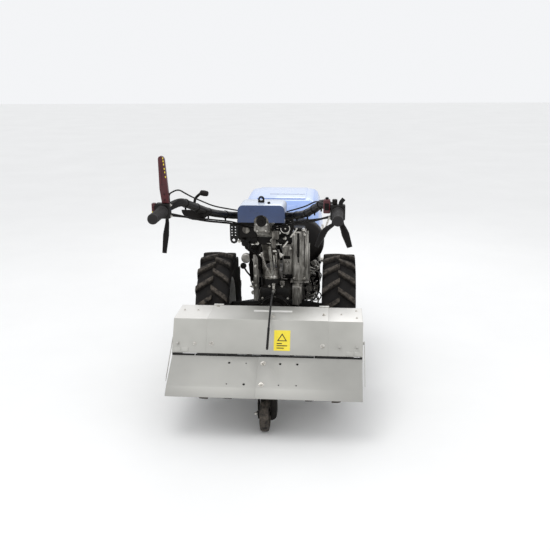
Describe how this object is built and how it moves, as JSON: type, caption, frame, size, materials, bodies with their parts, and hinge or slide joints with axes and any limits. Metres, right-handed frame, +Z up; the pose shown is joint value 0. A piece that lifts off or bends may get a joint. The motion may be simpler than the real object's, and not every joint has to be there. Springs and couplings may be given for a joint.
{
  "type": "two-wheel walking tractor with rear rotary tiller",
  "caption": "Pedestrian-steered two-wheel tractor with a blue engine hood, long handlebars with hand levers, lugged tyres and a wide rear rotary tiller with a grey hood and hinged flap.",
  "frame": {"origin": "centre of the bounding box on the ground", "axes": "+Y the way it drives, from the handlebar grips to the front bumper; +X to its right; +Z up"},
  "size_m": [0.818, 1.7637, 1.163],
  "materials": {
    "tyre_rubber": "moulded rubber with a deep lug tread",
    "rim_grey": "light grey enamel on pressed steel",
    "cast_black": "black paint on rough castings",
    "cast_aluminium": "bare pressure die casting",
    "hood_blue": "glossy blue moulding",
    "cover_blue": "glossy dark blue moulding",
    "black_plastic": "textured black moulding",
    "black_paint": "black powder coat on steel",
    "zinc_steel": "bright zinc plate",
    "sheet_grey": "silver grey paint on folded sheet steel",
    "lever_red": "dark red moulding",
    "tine_steel": "dark forged spring steel"
  },
  "bodies": {
    "chassis": {"axle_housing_left": "cast_black", "axle_housing_right": "cast_black", "gearbox": "cast_black", "clutch_housing": "cast_aluminium", "engine_crankcase": "cast_aluminium", "engine_cylinder": "cast_aluminium", "flywheel_cowl": "black_plastic", "front_bumper": "black_paint", "engine_hood": "hood_blue", "air_filter": "black_plastic", "muffler": "zinc_steel", "battery_box": "sheet_grey", "fuel_tank": "black_plastic", "gearbox_side_cover": "cast_aluminium", "tiller_coupling": "cast_black", "tiller_gearcase": "cast_black", "tiller_hood_centre": "sheet_grey", "tiller_hood_wing_left": "sheet_grey", "tiller_hood_wing_right": "sheet_grey", "depth_wheel_fork": "cast_black", "hitch_lever": "black_paint"},
    "left_wheel": {"tyre_left": "tyre_rubber", "rim_left": "rim_grey", "axle_shaft_left": "cast_black"},
    "right_wheel": {"tyre_right": "tyre_rubber", "rim_right": "rim_grey", "axle_shaft_right": "cast_black"},
    "rotor": {"tine_rotor_left": "tine_steel", "tine_rotor_right": "tine_steel"},
    "flap": {"rear_flap": "sheet_grey"},
    "tail_wheel": {"depth_wheel": "tyre_rubber"},
    "swivel": {"swivel_head": "cast_aluminium"},
    "handlebars": {"mast": "black_paint", "handlebar_left": "black_paint", "handlebar_right": "black_paint", "grip_left": "black_plastic", "grip_right": "black_plastic", "column_cover": "cover_blue", "clamp_left": "black_paint", "clamp_right": "black_paint", "safety_lever": "lever_red", "left_lower_lever": "black_plastic", "right_outer_lever": "black_plastic", "right_inner_lever": "black_plastic", "right_switch": "lever_red", "control_cable_left": "black_plastic", "control_cable_right": "black_plastic"}
  },
  "joints": [
    {"name": "left_wheel_spin", "type": "hinge", "parent": "chassis", "child": "left_wheel", "pos_m": [-0.3, 0.2027, 0.288], "axis": [-1, 0, 0], "continuous": true},
    {"name": "right_wheel_spin", "type": "hinge", "parent": "chassis", "child": "right_wheel", "pos_m": [0.3, 0.2027, 0.288], "axis": [-1, 0, 0], "continuous": true},
    {"name": "tine_rotor_spin", "type": "hinge", "parent": "chassis", "child": "rotor", "pos_m": [0, -0.2923, 0.188], "axis": [-1, 0, 0], "continuous": true},
    {"name": "depth_wheel_spin", "type": "hinge", "parent": "chassis", "child": "tail_wheel", "pos_m": [0, -0.5123, 0.075], "axis": [-1, 0, 0], "continuous": true},
    {"name": "rear_flap_hinge", "type": "hinge", "parent": "chassis", "child": "flap", "pos_m": [0, -0.44751, 0.30612], "axis": [-1, 0, 0], "range_deg": [0, 55]},
    {"name": "handlebar_swivel", "type": "hinge", "parent": "chassis", "child": "swivel", "pos_m": [-0.025, 0.1027, 0.49], "axis": [0, 0, 1], "range_deg": [-30, 30]},
    {"name": "handlebar_height", "type": "hinge", "parent": "swivel", "child": "handlebars", "pos_m": [-0.025, 0.1027, 0.597], "axis": [-1, 0, 0], "range_deg": [-8, 8]}
  ]
}
